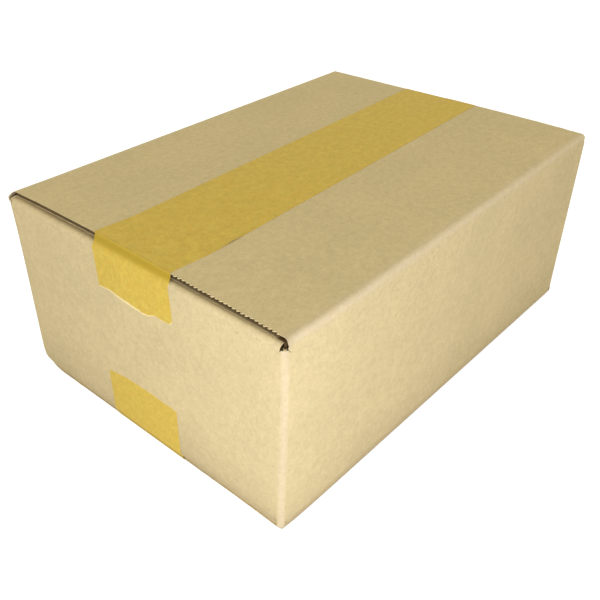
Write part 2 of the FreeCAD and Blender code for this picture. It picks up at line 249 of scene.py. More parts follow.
def fold_blank(c, r, depth):
    """Folds points of the blank. Gives their places and how pale a fold is painted at each, 0 to 1, as
    wear and painted highlight.
    """
    c, r, depth = (np.asarray(v, float) for v in (c, r, depth))
    places = np.zeros((len(c), 3))
    bend = np.zeros(len(c))
    flap = (r > SLOT_TOP + HAIR) | (r < SLOT_SOLE - HAIR)
    for run, ((x0, y0), (dx, dy), length, kind) in enumerate(RUNS):
        outward = np.array([-dy, dx], float)
        heading = np.array([dx, dy], float)
        start = run_start[run]
        spare = np.where(flap & (kind == "long"), QUARTER - 0.01, HAIR)
        mine = (c >= start - spare) & (c <= start + length + spare)
        if kind == "tab":
            mine = c >= start - HAIR
        top_level, sole_level = (SHORT_TOP, SHORT_SOLE) if kind == "short" else (TOP, SOLE)
        rising = r > (TOP + SOLE) / 2
        hinge = np.where(rising, top_level - FOLD, sole_level + FOLD)
        past = np.where(rising, r - hinge, hinge - r)
        if kind == "tab":
            past = np.full_like(r, FLAT)
        groove = sum(deep * hump(past - at, SCORE_WIDE)
                     for deep, at in zip(SCORE_DEPTH, (-SCORE_FROM, QUARTER + SCORE_FROM)))
        sunk = depth + groove * (1 - depth / BOARD)
        turn = np.clip(past / FOLD, 0, math.pi / 2)
        run_in = np.clip(past - QUARTER, 0, None)
        inward = FOLD - (FOLD - sunk) * np.cos(turn) + run_in
        height = np.where(past > 0, hinge + np.where(rising, 1, -1) * (FOLD - sunk) * np.sin(turn), r)
        plan = np.array([x0, y0]) + (c - start)[:, None] * heading - inward[:, None] * outward
        places[mine] = np.c_[plan, height][mine]
        pale, wide = FOLD_WEAR_AND_HIGHLIGHT[kind]
        worn = np.where(rising, pale, 0.0)
        bend[mine] = (worn * hump(past - QUARTER / 2, wide * QUARTER))[mine]
        if kind == "long":
            side = 1 if run == FAR else -1
            x, y = places[:, 0].copy(), places[:, 1].copy()
            lifted, lowered = (mine & half & (past > 0) for half in (rising, ~rising))
            share = smooth_step(run_in / LIFT_REACH)
            places[lifted, 2] += (flap_lift(x, y, side) * share)[lifted]
            places[lifted, 0] += front_trim(x, y, side)[lifted]
            places[lowered, 0] += (front_trim(x, y, side, -1) * np.clip(past, 0, 1))[lowered]
            narrowed = smooth_step((QUARTER - past) / (QUARTER + 1))
            narrowed = narrowed * smooth_step((SQUASH_REACH - FLAP_END - x) / SQUASH_REACH)
            narrowed = narrowed * np.where(rising, SQUASHED[side], SQUASHED_SOLE)
            places[mine & flap, 0] -= narrowed[mine & flap]
    for run, ((x0, y0), (dx, dy), length, kind) in enumerate(RUNS[:-1]):
        start = run_start[run] + length
        mine = (c > start + HAIR) & (c < start + QUARTER - HAIR) & ~flap
        outward = np.array([-dy, dx], float)
        heading = np.array([dx, dy], float)
        angle = (c - start) / FOLD
        centre = np.array([x0, y0]) + length * heading - FOLD * outward
        spoke = np.cos(angle)[:, None] * outward + np.sin(angle)[:, None] * heading
        plan = centre + (FOLD - depth)[:, None] * spoke
        places[mine] = np.c_[plan, r][mine]
        off_middle = c - start - QUARTER / 2
        pale, wide = FOLD_WEAR_AND_HIGHLIGHT["upright"]
        bend[mine] = pale * hump(off_middle, wide * QUARTER)[mine]
        across = np.clip(1 - (off_middle / (QUARTER / 2 + 0.3)) ** 2, 0, 1) ** TONGUE_BLUNT
        for rise, ledge in ((1, SLOT_TOP), (-1, SLOT_SOLE)):
            along_it = smooth_step(1 - rise * (ledge - r) / TONGUE_ROOT)
            shift = rise * TONGUES[WALL_NAMES[run], rise] * across * along_it
            places[mine, 2] += shift[mine]
    return places, bend


near_fold, bend = fold_blank([along(NEAR, x=0)], [TOP - FOLD], [0])
print("a point of the near wall folds to", near_fold[0].round(1))

# %% [markdown]
# ## The sheet as a closed mesh
# The sheet is laid out as a grid of cells on the blank: walls, flaps and tab, with the slots left
# out. Every cell gets an outer and an inner face. Where a cell has no neighbour the board has
# been cut, and there the two liners stand proud and the fluting sits back between them, so the
# rim runs in under the outer liner, across, and out again over the inner one. That closes the
# mesh with no loose edge. Rows and columns are close together only where the board bends.

# %% The grid lines of the blank
CELL = 6.0  # the usual size of a cell on the flat
FLAP_CELL = 3.0  # and on a flap
TOOTHED_CELL = 1.5  # and on the flap that has saw teeth
BEND_CELLS = 6  # cells round a fold
BY_A_SLOT = (0.6, 1.2, 1.8)  # extra rows this far from a slot's end


def spread(low, high, size):
    """Evenly spaced values from low to high, about size apart."""
    return list(np.linspace(low, high, max(1, round(abs(high - low) / size)) + 1))


def merged(*lists):
    """One rising list without near doubles."""
    found = []
    for value in sorted(v for values in lists for v in values):
        if not found or value - found[-1] > 0.02:
            found.append(value)
    return found


SCORE_ROWS = [-SCORE_FROM + k * SCORE_WIDE * 0.7 for k in (-2, -1, 0, 1)]
arc = [QUARTER * k / BEND_CELLS for k in range(BEND_CELLS + 1)]


def flap_rows(kind, size=FLAP_CELL):
    """Heights on the blank, from the slot's end to a top flap's free edge."""
    hinge = (TOP if kind == "long" else SHORT_TOP) - FOLD
    past = SCORE_ROWS + arc + [QUARTER - v for v in SCORE_ROWS]
    past += spread(QUARTER + 3, QUARTER + FLAP_RUN, size)
    return merged([SLOT_TOP], [hinge + v for v in past if hinge + v > SLOT_TOP + 0.1])


wall_rows = merged(spread(SLOT_SOLE, SLOT_TOP, CELL), [SLOT_TOP - v for v in BY_A_SLOT],
                   [SLOT_SOLE + v for v in BY_A_SLOT])
mirror = TOP + SOLE  # a bottom flap's row is a top flap's row, turned over
print(len(wall_rows), "rows up a wall and", len(flap_rows("long")), "on a long flap")

# %% The columns of each wall and its flaps
wall_columns = {}
flap_span = {}
for run, (_, _, length, kind) in enumerate(RUNS):
    start = run_start[run]
    span = [start, start + length]
    if kind == "long":
        flap_span[run] = sorted((along(run, x=-FLAP_END), along(run, x=FLAP_END)))
    elif kind == "short":
        side = HALF_WIDTH - BOARD - SIDE_GAP
        ends = sorted((along(run, y=-side), along(run, y=side)))
        flap_span[run] = [max(ends[0], start), ends[1]]
    marks = span + [v for v in flap_span.get(run, []) if start <= v <= start + length]
    wall_columns[run] = merged(spread(*span, CELL), marks)
turn_columns = {run: merged([run_start[run] + RUNS[run][2] + v for v in arc],
                            [v for ends in flap_span.values() for v in ends
                             if 0 < v - run_start[run] - RUNS[run][2] < QUARTER])
                for run in range(TAB)}
print("columns", {run: len(v) for run, v in wall_columns.items()})

# %% The grid itself
TOOTH_DEPTH = 0.55  # how far the saw teeth stand out of the liner's edge
TOOTH_START = 6.0  # from the wall to the first tooth
RECESS = 2.8  # how far the fluting sits back from a cut
RECESS_CRUSHED = 0.6  # and where a blunt knife pushed the far flap's inner liner outwards
RECESS_SOLE = 0.5  # and on the bottom flaps, which the box's weight has pressed flat
UNDER_TAPE = 27.0  # no rough edges this close to the middle, where the tape lies over them
SAME_PLACE = 0.01  # two measures on the blank that differ by less are the same place

number = {}  # the index of each point, by its place on the blank and its depth
outer_faces, inner_faces, rim_faces = [], [], []


def point(c, r, depth):
    """The index of a point, which gets the next free one when it is new."""
    return number.setdefault((round(c, 3), round(r, 3), round(depth, 3)), len(number))


def lay(columns, rows, height=lambda c, r: r):
    """Cells between these columns and rows."""
    for c0, c1 in zip(columns, columns[1:]):
        for r0, r1 in zip(rows, rows[1:]):
            ring = [(c0, r0), (c0, r1), (c1, r1), (c1, r0)]
            ring = [(c, height(c, r)) for c, r in ring]
            outer_faces.append([point(c, r, 0) for c, r in ring])
            inner_faces.append([point(c, r, BOARD) for c, r in ring[::-1]])


def within(columns, span):
    """The columns from one end of a flap to the other."""
    return [c for c in columns if span[0] - SAME_PLACE <= c <= span[1] + SAME_PLACE]


every_column = merged(*wall_columns.values(), *turn_columns.values())
every_column = [c for c in every_column if c <= run_start[TAB] + HAIR]
lay(every_column, wall_rows)
for run, span in flap_span.items():
    columns = within(every_column, span)
    kind = RUNS[run][3]
    lay(columns, flap_rows(kind, TOOTHED_CELL if run == NEAR else FLAP_CELL))
    lay(columns, [mirror - r for r in flap_rows(kind)][::-1])
middle = mirror / 2
tab_shrink = (TAB_GAP + BOARD - FOLD - SLOT_PAST + TAB_SPARE) / (SLOT_TOP - middle)
tab_length = RUNS[TAB][2]


def tab_height(c, r):
    """The glue tab is a little shorter than the wall and tapers to its free edge."""
    out = (c - run_start[TAB]) / tab_length
    return middle + (r - middle) * (1 - tab_shrink * min(1, out * 8) - TAB_TAPER * out)


lay(wall_columns[TAB], wall_rows, tab_height)
print(len(outer_faces), "cells on the sheet")

# %% The cut edges
spot = {index: place for place, index in number.items()}
directed = {(ring[k - 1], ring[k]) for ring in outer_faces for k in range(4)}
border = [(a, b) for a, b in directed if (b, a) not in directed]
border.sort()
inward_of = {}
for a, b in border:
    dc, dr = spot[b][0] - spot[a][0], spot[b][1] - spot[a][1]
    size = math.hypot(dc, dr)
    for end in (a, b):
        inward_of.setdefault(end, []).append((dr / size, -dc / size))


def crushed(c, r):
    """True on the front cut end of the far flap on top."""
    return abs(c - flap_span[FAR][0]) < SAME_PLACE and r > TOP - FOLD


def rim_ring(index):
    """The points of the cut edge under one point of the outer face, from outside to inside."""
    c, r, depth = spot[index]
    (c1, r1), (c2, r2) = inward_of[index]
    stretch = 1 + c1 * c2 + r1 * r2
    way = ((c1 + c2) / stretch, (r1 + r2) / stretch)
    under = RECESS if r > SLOT_SOLE else RECESS_SOLE
    deep = RECESS_CRUSHED if crushed(c, r) else under
    return [index, point(c, r, LINER),
            point(c + way[0] * under, r + way[1] * under, LINER),
            point(c + way[0] * deep, r + way[1] * deep, BOARD - LINER),
            point(c, r, BOARD - LINER), point(c, r, BOARD)]


rings = {index: rim_ring(index) for index in inward_of}
for a, b in border:
    for k in range(5):
        rim_faces.append([rings[b][k], rings[a][k], rings[a][k + 1], rings[b][k + 1]])
print(len(border), "cut edges")

# %% Folding the sheet
keys = np.array(sorted(number, key=number.get))
points, bend = fold_blank(*keys.T)
along_row, up_sheet, depths = keys.T
near_front, far_front = flap_span[NEAR][1], flap_span[FAR][0]
at_near_front = abs(along_row - near_front) < SAME_PLACE
on_top = up_sheet > TOP - FOLD
print("folded", len(points), "points,", at_near_front.sum(), "of them at the near flap's front end")

# %% [markdown]
# The darkness mask says how dark the board is painted, from 0 on clean liner to 1 deep inside a cut,
# where it holds the fluting's darker colour and painted shade. The foot of the walls is painted darker as
# well, most near the front corner, as painted shade, and the short flaps get painted shade beside the
# ends of the long ones.

# %% How dark each place is
CUT_LINER = 0.35  # a cut liner's edge, where the cut's painted shade begins
FOOT_SHADE, FOOT_SHADE_FROM, FOOT_SHADE_UP_TO = 0.12, 1.5, 32.0  # painted shade, darker towards the foot of the walls: in full from one height, none at the other
SOLE_CUTS = 0.2  # the bottom flaps' cuts catch light from the floor, so only this share is left
SOLE_FOLD_SHADOW, SOLE_FOLD_SHADOW_UP_TO, SOLE_FOLD_SHADOW_FADES = 0.7, 2.5, 1.4  # painted shadow on the two long bottom folds
SOLE_FOLD_SHADOW_IN = 2.2  # and how far in from the box's long sides
BAND_LONG, BAND_SHORT = 0.25, 0.2  # painted shade in a band along the foot of the long and the short walls
BAND_UP_TO, BAND_FADES = 7.0, 5.0  # its upper edge, and how much of it fades out
BAND_REACH = 330.0  # how far from the near front corner the band would end
UPRIGHT_FOLD_SHADE = 0.28  # painted shade on the upright folds, which face the lamp and would lose their colour without it
SHADE_FAR, SHADE_NEAR, SHADE_EDGE = 0.25, 0.3, 1.6  # beside the long flaps' ends, and how soft
INNER_EDGE_SHADE = 0.5  # painted shade on the edges of the near flap's inner liner
SLOT_ROOM = 7.0  # how far from a near corner the board inside its slot is painted fully dark, as painted shade
CRUSHED_CUT = 0.85  # inside the far flap's crushed end, where more light gets in

fluting_and_shade = np.zeros(len(keys))
# The cuts: the fluting's own darker colour, with painted shade deep in each recess.
for ring in rings.values():
    fluting_and_shade[ring[1]] = fluting_and_shade[ring[4]] = CUT_LINER
    fluting_and_shade[ring[2]] = fluting_and_shade[ring[3]] = 1.0
fluting_and_shade[up_sheet < SLOT_SOLE] *= SOLE_CUTS

lowest = points[:, 2] - SOLE
outside = depths < SAME_PLACE
on_fold = smooth_step(abs(points[:, 1]) - (HALF_WIDTH - SOLE_FOLD_SHADOW_IN))
foot = FOOT_SHADE * smooth_step(1 - lowest / FOOT_SHADE_UP_TO) * smooth_step(lowest / FOOT_SHADE_FROM)
foot += SOLE_FOLD_SHADOW * smooth_step((SOLE_FOLD_SHADOW_UP_TO - lowest) / SOLE_FOLD_SHADOW_FADES) * on_fold
on_short = abs(points[:, 1]) < HALF_WIDTH - FOLD
on_long = abs(points[:, 0]) < HALF_LENGTH - FOLD
over_fold = lowest - np.where(on_short & ~on_long, BOARD + FLAP_GAP, 0.0)
from_corner = np.hypot(points[:, 0] + HALF_LENGTH, points[:, 1] + HALF_WIDTH)
band = np.where(on_long, BAND_LONG, BAND_SHORT) * (1 - from_corner / BAND_REACH)
band *= smooth_step((BAND_UP_TO - over_fold) / BAND_FADES) * smooth_step(over_fold)
foot += band * (on_short | on_long)
foot = np.maximum(foot, UPRIGHT_FOLD_SHADE * bend * ~(on_short | on_long))
fluting_and_shade = np.maximum(fluting_and_shade, foot * outside)

shaded = (abs(points[:, 0]) > FLAP_END - 3) & (abs(points[:, 1]) < HALF_WIDTH - BOARD) & outside
shaded &= (up_sheet > SHORT_TOP - FOLD) & (abs(points[:, 2] - TOP) > BOARD)
shade = np.where(points[:, 1] > 0, SHADE_FAR, SHADE_NEAR)
shade = shade * smooth_step((FLAP_END + SHADE_EDGE - abs(points[:, 0])) / SHADE_EDGE)
fluting_and_shade = np.maximum(fluting_and_shade, shade * shaded)

# Painted shade: the board inside the near corners' slots is made fully dark.
in_slot = (depths > LINER) & (up_sheet > SLOT_TOP)
in_slot &= (abs(points[:, 0]) > HALF_LENGTH - SLOT_ROOM) & (points[:, 1] < SLOT_ROOM - HALF_WIDTH)
fluting_and_shade[at_near_front & (depths > LINER) & on_top] = INNER_EDGE_SHADE
fluting_and_shade[in_slot] = 1.0
fluting_and_shade[(abs(along_row - far_front) < RECESS + 0.1) & on_top & (fluting_and_shade > 0.9)] = CRUSHED_CUT
print("darker than clean board:", (fluting_and_shade > 0.05).sum(), "points")

# %% Ragged edges, and the sheet out of square
RAGGED = 0.03
rng = np.random.default_rng(7)
toothed = at_near_front & on_top & (depths <= LINER)
toothed &= (points[:, 1] > TOOTH_START - HALF_WIDTH) & (points[:, 1] < -UNDER_TAPE + 2)
points[toothed, 0] += TOOTH_DEPTH
ragged = np.zeros(len(keys), bool)
ragged[[index for ring in rings.values() for index in (ring[0], ring[1], ring[4], ring[5])]] = True
ragged &= abs(points[:, 1]) > UNDER_TAPE
points[ragged] += rng.normal(0, RAGGED, (ragged.sum(), 3))
points = settle(points)
print(ragged.sum(), "points on ragged edges")

# %% One mesh object


def new_piece(name, points, faces, masks):
    """A mesh object from points in millimetres, with soft shading except on sharp edges."""
    mesh = bpy.data.meshes.new(name)
    mesh.from_pydata((points * MM).tolist(), [], faces)
    mesh.validate()
    for label, values in masks.items():
        layer = mesh.attributes.new(label, "FLOAT", "POINT")
        layer.data.foreach_set("value", values.astype(np.float32))
    mesh.polygons.foreach_set("use_smooth", [True] * len(mesh.polygons))
    mesh.set_sharp_from_angle(angle=math.radians(42))
    piece = bpy.data.objects.new(name, mesh)
    bpy.context.scene.collection.objects.link(piece)
    return piece


carton = new_piece("carton_board", points, outer_faces + inner_faces + rim_faces,
                   {"bend": bend, "fluting_and_shade": fluting_and_shade})
print("carton:", len(points), "points,", len(carton.data.polygons), "faces")

# %% [markdown]
# ## Node trees, in a few words
# Geometry Nodes and shader groups are both trees of nodes, so one helper builds both: it adds a
# node, sets its properties, and feeds its inputs from plain values or from other nodes' outputs.
# Another gives a tree its named inputs and outputs.

# %% Helpers for node trees
def place(tree, kind, inputs=(), **settings):
    """Adds a node to the tree, with its settings and inputs."""
    node = tree.nodes.new(kind)
    for key, value in settings.items():
        setattr(node, key, value)
    for key, value in dict(inputs).items():
        if isinstance(value, bpy.types.NodeSocket):
            tree.links.new(value, node.inputs[key])
        else:
            node.inputs[key].default_value = value
    return node


def reckon(tree, operation, a, b=0.0, c=0.0):
    """A Math node's answer."""
    return place(tree, "ShaderNodeMath", {0: a, 1: b, 2: c}, operation=operation).outputs[0]


def blend(tree, share, first, second):
    """A colour between two others, by a share from 0 to 1."""
    return place(tree, "ShaderNodeMix", {0: share, 6: first, 7: second}, data_type="RGBA").outputs[2]


def new_tree(name, family, inputs, outputs):
    """A node group with named sockets, given as (name, type, value)."""
    tree = bpy.data.node_groups.new(name, family)
    for way, sockets in (("INPUT", inputs), ("OUTPUT", outputs)):
        for label, kind, value in sockets:
            socket = tree.interface.new_socket(label, in_out=way, socket_type="NodeSocket" + kind)
            if value is not None:
                socket.default_value = value
    return tree, place(tree, "NodeGroupInput").outputs, place(tree, "NodeGroupOutput")


def end_tree(tree, geometry, given, result):
    """Ends a Geometry Nodes tree: real geometry, with its finish on."""
    solid = place(tree, "GeometryNodeRealizeInstances", {"Geometry": geometry}).outputs[0]
    finished = place(tree, "GeometryNodeSetMaterial", {"Geometry": solid, "Material": given["Finish"]})
    tree.links.new(finished.outputs[0], result.inputs[0])


def grow(name, path, tree, **values):
    """Runs a Geometry Nodes tree on a path of points, and keeps the result as a plain mesh."""
    line = bpy.data.meshes.new(name + "_path")
    line.from_pydata((path * MM).tolist(), [(k, k + 1) for k in range(len(path) - 1)], [])
    host = bpy.data.objects.new(name, line)
    bpy.context.scene.collection.objects.link(host)
    maker = host.modifiers.new("maker", "NODES")
    maker.node_group = tree
    for socket in tree.interface.items_tree:
        if socket.in_out == "INPUT" and socket.name in values:
            maker[socket.identifier] = values[socket.name]
    view = bpy.context.evaluated_depsgraph_get()
    made = bpy.data.meshes.new_from_object(host.evaluated_get(view))
    host.modifiers.remove(maker)
    host.data = made
    bpy.data.meshes.remove(line)
    return host


# %% [markdown]
# ## The finishes, first as empty materials
# Geometry Nodes set a material on what they make, so the two materials have to exist before the
# small repeated parts. They get their nodes further down, once there is something to look at.

# %% Materials to be filled
board_finish = bpy.data.materials.new("kraft_board")
tape_finish = bpy.data.materials.new("paper_tape")
print("materials", board_finish.name, tape_finish.name)

# %% [markdown]
# ## Fluting in the slots
# Between its liners the board holds a waved sheet. It shows where a slot ends, above and below
# each corner of the box but the glued one. A wave along a path is a rule, so Geometry Nodes make
# it: the tree resamples the path, moves each point sideways by a sine of its distance, and sweeps
# a thin upright strip along it. Near a corner the wave is crushed, so its pitch there is shorter
# than the board's.

# %% The tree for the waved sheet
FLUTING_RAW = 0.05  # how dark the waved sheet is by itself
fluting, given, result = new_tree(
    "waved_fluting", "GeometryNodeTree",
    [("Geometry", "Geometry", None), ("Pitch", "Float", 0.003), ("Height", "Float", 0.0015),
     ("Paper", "Float", 0.0002), ("Depth", "Float", 0.002), ("Finish", "Material", None)],
    [("Geometry", "Geometry", None)])
curve = place(fluting, "GeometryNodeMeshToCurve", {"Mesh": given["Geometry"]}).outputs[0]
step = reckon(fluting, "DIVIDE", given["Pitch"], 12)
curve = place(fluting, "GeometryNodeResampleCurve", {"Curve": curve, "Length": step},
              mode="LENGTH").outputs[0]
curve = place(fluting, "GeometryNodeSetCurveNormal", {"Curve": curve}, mode="Z_UP").outputs[0]
gone = place(fluting, "GeometryNodeSplineParameter").outputs["Length"]
phase = reckon(fluting, "DIVIDE", reckon(fluting, "MULTIPLY", gone, 2 * math.pi), given["Pitch"])
half_height = reckon(fluting, "MULTIPLY", given["Height"], 0.5)
swing = reckon(fluting, "MULTIPLY", reckon(fluting, "SINE", phase), half_height)
sideways = place(fluting, "GeometryNodeInputNormal").outputs[0]
aside = place(fluting, "ShaderNodeVectorMath", {0: sideways}, operation="SCALE")
fluting.links.new(swing, aside.inputs["Scale"])
curve = place(fluting, "GeometryNodeSetPosition",
              {"Geometry": curve, "Offset": aside.outputs[0]}).outputs[0]
strip = place(fluting, "GeometryNodeCurvePrimitiveQuadrilateral",
              {"Width": given["Paper"], "Height": given["Depth"]}).outputs[0]
sheet = place(fluting, "GeometryNodeCurveToMesh",
              {"Curve": curve, "Profile Curve": strip, "Fill Caps": True}).outputs[0]
marked = place(fluting, "GeometryNodeStoreNamedAttribute",
               {"Geometry": sheet, "Name": "fluting_and_shade", "Value": FLUTING_RAW},
               data_type="FLOAT", domain="POINT").outputs[0]
end_tree(fluting, marked, given, result)
print("fluting nodes", len(fluting.nodes))

# %% Fluting above and below three corners
CRUSHED_PITCH = 2.7
FLUTING_DEPTH = 2.2
FLUTING_PAST = 0.3  # how far the waved sheet stands out of the slot's end
FLUTING_PLAY = 0.3  # how much lower than the room between the liners its waves are
PATH_POINTS = 12
extras = []
for run in (BACK, NEAR, FRONT):
    first, second = sorted((flap_span[run][1], flap_span[run + 1][0]))
    c = np.linspace(first + 0.1, second - 0.1, PATH_POINTS)
    for rise, ledge in ((1, SLOT_TOP), (-1, SLOT_SOLE)):
        level = ledge - rise * (FLUTING_DEPTH / 2 - FLUTING_PAST)
        path, _ = fold_blank(c, np.full(PATH_POINTS, level), np.full(PATH_POINTS, BOARD / 2))
        extras.append(grow(f"fluting_{run}_{'top' if rise > 0 else 'sole'}", settle(path), fluting,
                           Pitch=CRUSHED_PITCH * MM, Height=(BOARD - 2 * LINER - FLUTING_PLAY) * MM,
                           Depth=FLUTING_DEPTH * MM, Finish=board_finish))
print("fluting:", sum(len(piece.data.polygons) for piece in extras), "faces")

# %% [markdown]
# ## Saw teeth on one cut end
# The slotting knife is serrated. On the near flap in front it tore the outer liner into small
# teeth. A tooth is a thin trapezoid, and a row of them follows the cut, so this too is a tree:
# one tooth is made inside it, and instances are turned along the path, each a little different.

# %% The tree for the saw teeth
teeth, given, result = new_tree(
    "saw_teeth", "GeometryNodeTree",
    [("Geometry", "Geometry", None), ("Pitch", "Float", 0.0023), ("Root", "Float", 0.0022),
     ("Tip", "Float", 0.0006), ("Length", "Float", 0.0006), ("Paper", "Float", 0.0003),
     ("Uneven", "Float", 0.45), ("Seed", "Int", 3), ("Finish", "Material", None)],
    [("Geometry", "Geometry", None)])
curve = place(teeth, "GeometryNodeMeshToCurve", {"Mesh": given["Geometry"]}).outputs[0]
curve = place(teeth, "GeometryNodeResampleCurve", {"Curve": curve, "Length": given["Pitch"]},
              mode="LENGTH").outputs[0]
outline = place(teeth, "GeometryNodeCurvePrimitiveQuadrilateral",
                {"Bottom Width": given["Root"], "Top Width": given["Tip"],
                 "Height": given["Length"], "Offset": 0.0}, mode="TRAPEZOID").outputs[0]
plate = place(teeth, "GeometryNodeFillCurve", {"Curve": outline}).outputs[0]
thick = place(teeth, "ShaderNodeCombineXYZ", {"Z": given["Paper"]}).outputs[0]
top_half = place(teeth, "GeometryNodeExtrudeMesh",
                 {"Mesh": plate, "Offset": thick, "Offset Scale": 1.0, "Individual": False}).outputs[0]
under_half = place(teeth, "GeometryNodeFlipFaces", {"Mesh": plate}).outputs[0]
both = place(teeth, "GeometryNodeJoinGeometry")
teeth.links.new(top_half, both.inputs[0])
teeth.links.new(under_half, both.inputs[0])
tooth = place(teeth, "GeometryNodeMergeByDistance",
              {"Geometry": both.outputs[0], "Distance": 1e-5}).outputs[0]
seated = place(teeth, "ShaderNodeCombineXYZ", {
    "Y": reckon(teeth, "MULTIPLY", given["Length"], 0.4),
    "Z": reckon(teeth, "MULTIPLY", given["Paper"], -0.5)}).outputs[0]
tooth = place(teeth, "GeometryNodeTransform", {"Geometry": tooth, "Translation": seated}).outputs[0]
along_path = place(teeth, "GeometryNodeInputTangent").outputs[0]
facing = place(teeth, "FunctionNodeAxesToRotation",
               {"Primary Axis": along_path, "Secondary Axis": (0, 0, 1)},
               primary_axis="X", secondary_axis="Z").outputs[0]
least = reckon(teeth, "SUBTRACT", 1.0, given["Uneven"])
most = reckon(teeth, "ADD", 1.0, given["Uneven"])
size = place(teeth, "FunctionNodeRandomValue", {2: least, 3: most, "Seed": given["Seed"]},
             data_type="FLOAT").outputs[1]
size = place(teeth, "ShaderNodeCombineXYZ", {"X": 1.0, "Y": size, "Z": 1.0}).outputs[0]
row = place(teeth, "GeometryNodeInstanceOnPoints",
            {"Points": curve, "Instance": tooth, "Rotation": facing, "Scale": size}).outputs[0]
end_tree(teeth, row, given, result)
print("teeth nodes", len(teeth.nodes))

# %% The row of teeth
TOOTH_PITCH = 2.3
TOOTH_ROOT = TOOTH_PITCH * 0.96
TOOTH_TIP = 0.6
TOOTH_LENGTH = TOOTH_DEPTH * 1.3  # with what is sunk in the liner's edge
CUT_POINTS = 60
wall_row = TOP - FOLD + QUARTER - FOLD  # from here rows count the distance from the wall
r = np.linspace(wall_row + TOOTH_START, wall_row + HALF_WIDTH - UNDER_TAPE + 2, CUT_POINTS)
path, _ = fold_blank(np.full(CUT_POINTS, near_front), r, np.full(CUT_POINTS, LINER / 2))
path[:, 0] += TOOTH_DEPTH
extras.append(grow("saw_teeth", settle(path), teeth, Pitch=TOOTH_PITCH * MM, Root=TOOTH_ROOT * MM,
                   Tip=TOOTH_TIP * MM, Length=TOOTH_LENGTH * MM, Paper=LINER * MM,
                   Finish=board_finish))
print("teeth:", len(extras[-1].data.polygons), "faces")

# %% [markdown]
# The fluting and the teeth are the same sheet as the carton, so they are joined to its mesh.

# %% One piece for the sheet
carton.data.materials.append(board_finish)
with bpy.context.temp_override(active_object=carton, selected_editable_objects=[carton, *extras]):
    bpy.ops.object.join()
print("carton:", len(carton.data.polygons), "faces in all")

# %% [markdown]
# ## The tape
# Each strip is paper, 0.15 mm thick. It comes up one end wall, bridges from the wall's fold to the
# flap's cut end, runs along the seam and goes down the other end. Its bed is therefore one line
# in the upright plane along the box. A grid of rows along that line and of columns across it
# gives the strip, and the same movements that set the box out of square are applied to it, so it
# stays stuck to the board. The last rows in front follow the tear, where the paper's pale core
# shows as a thin rim.

# %% Sizes of the tape, in millimetres
TAPE_WIDTH = 48.2
TAPE_THICK = 0.15
STUCK = 0.03  # what keeps the tape's underside off the board
TOUCH = math.radians(52)  # how far up an end wall's fold the tape first touches it
ACROSS_TAPE = np.linspace(0.5, -0.5, 97)  # the columns, as shares of the width from +Y to -Y
# The middle of each strip at both ends of the box, how far its ends hang down, and how far it
# strays sideways on its way down the front.
TAPES = {
    "top": {"rise": 1, "front": 2.0, "back": 4.65, "stray": -3.05,
            "hang_front": 24.0, "hang_back": 25.0},
    "bottom": {"rise": -1, "front": 0.2, "back": -1.5, "stray": 1.1,
               "hang_front": 31.0, "hang_back": 27.0},
}
STRAY_EARLY = 0.3  # below 1, most of the stray comes right after the fold
# How far each strip bows towards -Y on the flaps, at the most, and in what share of the length.
SWAYS = {"top": 2.3, "bottom": 0.0}
SWAY_GROWS = 0.12
# How far the torn ends reach beyond their hang: a share of the width from +Y to -Y, and a length.
TEARS = {
    "top": [(0.5, 0.1), (0.41, -0.3), (0.33, -0.4), (0.25, 0.6), (0.16, 1.2), (0.08, 1.3),
            (0.0, 1.8), (-0.09, 2.0), (-0.17, 1.3), (-0.26, -0.6), (-0.3, -0.9), (-0.39, -0.7),
            (-0.47, -0.9), (-0.5, -2.9)],
    "bottom": [(0.5, -1.6), (0.32, -0.3), (0.17, 0.8), (0.04, 0.7), (-0.13, 0.9), (-0.3, 0.2),
               (-0.42, 0.4), (-0.5, -0.1)],
}
TORN_SOFT, TORN_FINE = 0.2, 0.06  # how uneven a torn end is, in soft waves and from point to point
THINNED = (0.09, 0.05)  # how much thinner the torn paper is in its last two rows
# How wide the pale torn rim is, at its least and at its most.
RIMS = {"top": (0.28, 1.5), "bottom": (0.04, 0.06)}
# Where the top strip's -Y edge has come unstuck: x and z, how long, how far it stands off, and
# how far in from the edge.
LIFTED = (-89.0, 103.0, 4.0, 0.5, 2.5)
WRINKLED = (9.0, 90.0, 6.0)  # where the top strip is wrinkled on its front: y and z, and how far
NEAR_FLAP, EASE = 3.2, 3.0  # how far from a flap the tape still follows it, and how softly
CREASE = 1.45  # where the tape is worn, in board thicknesses below the flap's face


def tape_bed(rise, hang):
    """Half of the tape's line, from the middle of the box to its front end, as x and z. The last
    point is the end that hangs lowest."""
    level, short = (TOP, SHORT_TOP) if rise > 0 else (SOLE, SHORT_SOLE)
    fold_x, fold_z = HALF_LENGTH - FOLD, short - rise * FOLD
    line = [(x, level) for x in spread(0, FLAP_END - 6, 3.5)]
    line += [(FLAP_END - back, level) for back in (3.5, 1.8, 0.9, 0.4, 0.1)]
    foot = np.array([fold_x + FOLD * math.cos(TOUCH), fold_z + rise * FOLD * math.sin(TOUCH)])
    edge = np.array([FLAP_END + 0.05, level - rise * 0.1])
    line += [tuple(edge + (foot - edge) * t) for t in (0.0, 0.12, 0.3, 0.5, 0.7, 0.88)]
    line += [(fold_x + FOLD * math.cos(a), fold_z + rise * FOLD * math.sin(a))
             for a in np.linspace(TOUCH * 0.96, 0, 9)]
    down = spread(fold_z, level - rise * hang, 1.0)[1:]
    line += [(HALF_LENGTH, z) for z in down]
    return np.array(line), len(down)


def follow_flaps(flat):
    """Raises and trims the top strip with the two flaps below it, easing from one to the other."""
    x, y = flat[:, 0].copy(), flat[:, 1]
    upper = smooth_step((flat[:, 2] - (TOP - NEAR_FLAP)) / EASE) * (abs(x) < FLAP_END + 1.5)
    mix = smooth_step((y + 2) / 4)
    for axis, change in ((2, flap_lift), (0, front_trim)):
        near, far = (change(x, y, side) for side in (-1, 1))
        flat[:, axis] += (far * mix + near * (1 - mix)) * upper


